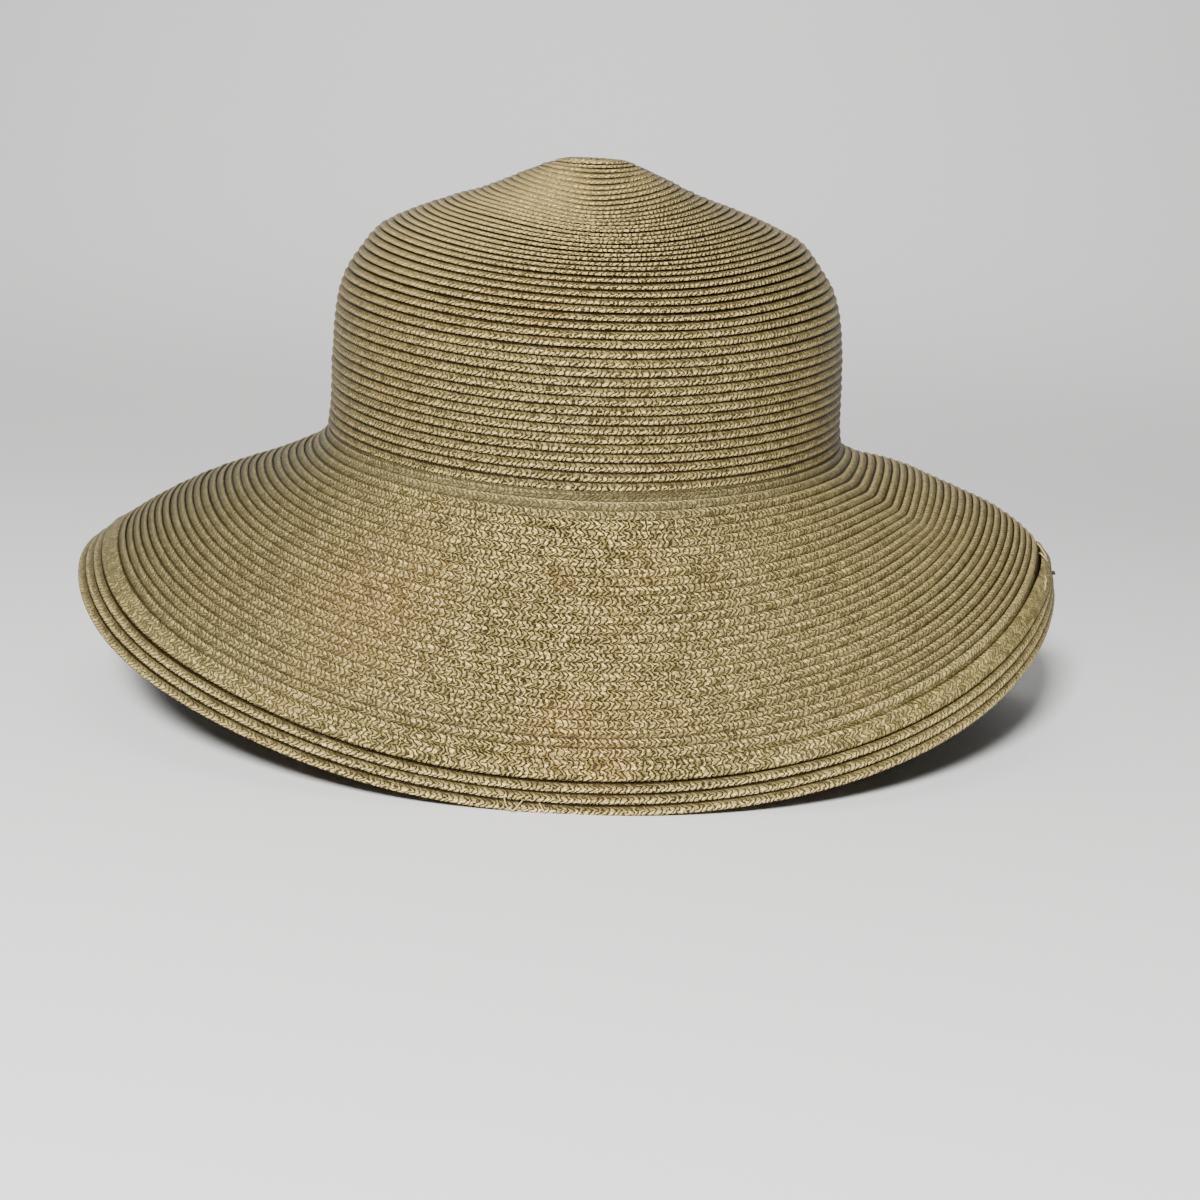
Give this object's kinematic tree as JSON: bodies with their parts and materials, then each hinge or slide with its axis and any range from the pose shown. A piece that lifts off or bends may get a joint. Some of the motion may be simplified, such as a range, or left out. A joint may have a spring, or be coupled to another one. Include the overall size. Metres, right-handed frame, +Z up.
{
  "type": "raffia sun hat",
  "caption": "Sewn raffia sun hat with a straight-sided round crown, a raised tip and a wide brim that droops at the front and back.",
  "frame": {"origin": "middle of the hat's box, on the surface that the front and back of its rim rest on", "axes": "+Z up the crown, +Y to the back of the head, +X to the right as seen from the front"},
  "size_m": [0.3258, 0.2654, 0.1789],
  "materials": {
    "raffia_braid": "satin"
  },
  "bodies": {
    "root": {"crown": "raffia_braid", "brim": "raffia_braid", "rim_braid_1": "raffia_braid", "rim_braid_2": "raffia_braid", "rim_braid_3": "raffia_braid", "rim_braid_4": "raffia_braid"}
  },
  "joints": []
}
